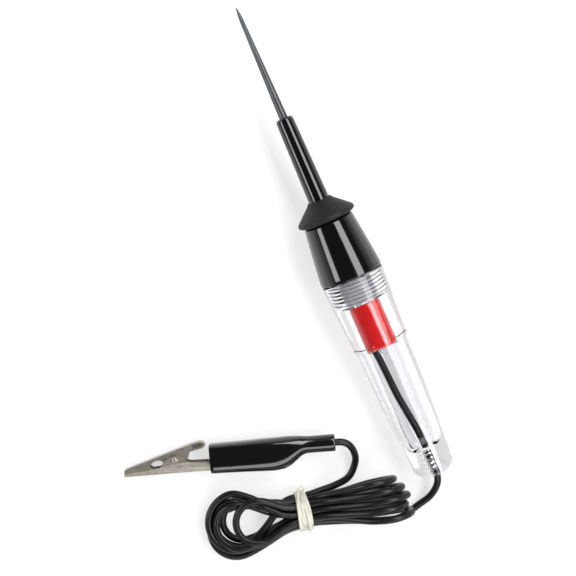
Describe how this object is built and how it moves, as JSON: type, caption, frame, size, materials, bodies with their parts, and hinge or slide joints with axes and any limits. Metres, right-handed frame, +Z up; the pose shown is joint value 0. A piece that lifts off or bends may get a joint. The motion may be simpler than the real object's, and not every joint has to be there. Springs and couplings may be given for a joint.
{
  "type": "circuit test light",
  "caption": "Automotive circuit test light: needle probe on a screw-in nose, clear handle with a lamp in a red lens, and a folded lead ending in a spring clip.",
  "frame": {"origin": "on the table, under the middle of the tester lying on its side (lead, hank and clip not counted)", "axes": "+X towards the probe's tip, +Z up, +Y towards the lead's clip"},
  "size_m": [0.2275, 0.1374, 0.0276],
  "materials": {
    "clear_plastic": "clear moulded plastic, polished",
    "red_plastic": "translucent red, glossy",
    "black_gloss": "glossy moulded plastic",
    "black_matt": "matt moulded plastic",
    "probe_steel": "ground steel, darkened",
    "nickel": "nickel-plated pressed steel",
    "brass": "drawn brass",
    "copper": "bare copper strands",
    "spring_steel": "drawn spring wire",
    "solder": "soft solder",
    "lamp_glass": "clear lamp glass",
    "lead_jacket": "soft black jacket, slight sheen",
    "boot_vinyl": "dip-moulded black vinyl, glossy",
    "rubber_band": "cream rubber"
  },
  "bodies": {
    "handle": {"clear_handle": "clear_plastic", "lens_sleeve": "red_plastic", "lamp_socket": "brass", "bulb_base": "nickel", "bulb_contact": "solder", "bulb_glass": "lamp_glass", "bulb_filament": "spring_steel", "lead_solder": "solder", "lead_strands": "copper", "inner_lead": "lead_jacket", "lead_to_hank": "lead_jacket", "lead_to_clip": "lead_jacket", "lead_hank": "lead_jacket", "hank_band": "rubber_band", "clip_lower_jaw": "nickel", "clip_rivet": "nickel", "clip_spring_lower": "spring_steel", "clip_strands": "copper"},
    "contact": {"contact_spring": "spring_steel", "contact_button": "brass"},
    "nose": {"probe_needle": "probe_steel", "probe_insulator": "black_gloss", "nose_flange": "black_matt", "nose_cone": "black_gloss", "probe_washer": "brass", "probe_nut": "nickel"},
    "clip_jaw": {"clip_upper_jaw": "nickel", "clip_spring_upper": "spring_steel"},
    "boot": {"clip_boot": "boot_vinyl"}
  },
  "joints": [
    {"name": "nose_travel", "type": "slide", "parent": "handle", "child": "contact", "axis": [0.9987, 0, 0.0505], "range_m": [0, 0.01033]},
    {"name": "nose_unscrew", "type": "hinge", "parent": "contact", "child": "nose", "pos_m": [-0.01375, 0, 0.01361], "axis": [0.9987, 0, 0.0505], "range_deg": [0, 2340]},
    {"name": "clip_open", "type": "hinge", "parent": "handle", "child": "clip_jaw", "pos_m": [-0.057, 0.1007, 0.00422], "axis": [-0.0209, -0.0629, -0.9978], "range_deg": [0, 22], "stiffness_Nm_per_rad": 0.25, "springref_deg": -45.84},
    {"name": "boot_slide", "type": "slide", "parent": "handle", "child": "boot", "axis": [-0.315, -0.9468, 0.0663], "range_m": [-0.001, 0.002]}
  ],
  "couplings": [
    {"joint": "nose_travel", "follows": "nose_unscrew", "m_per_rad": 0.00025266}
  ]
}
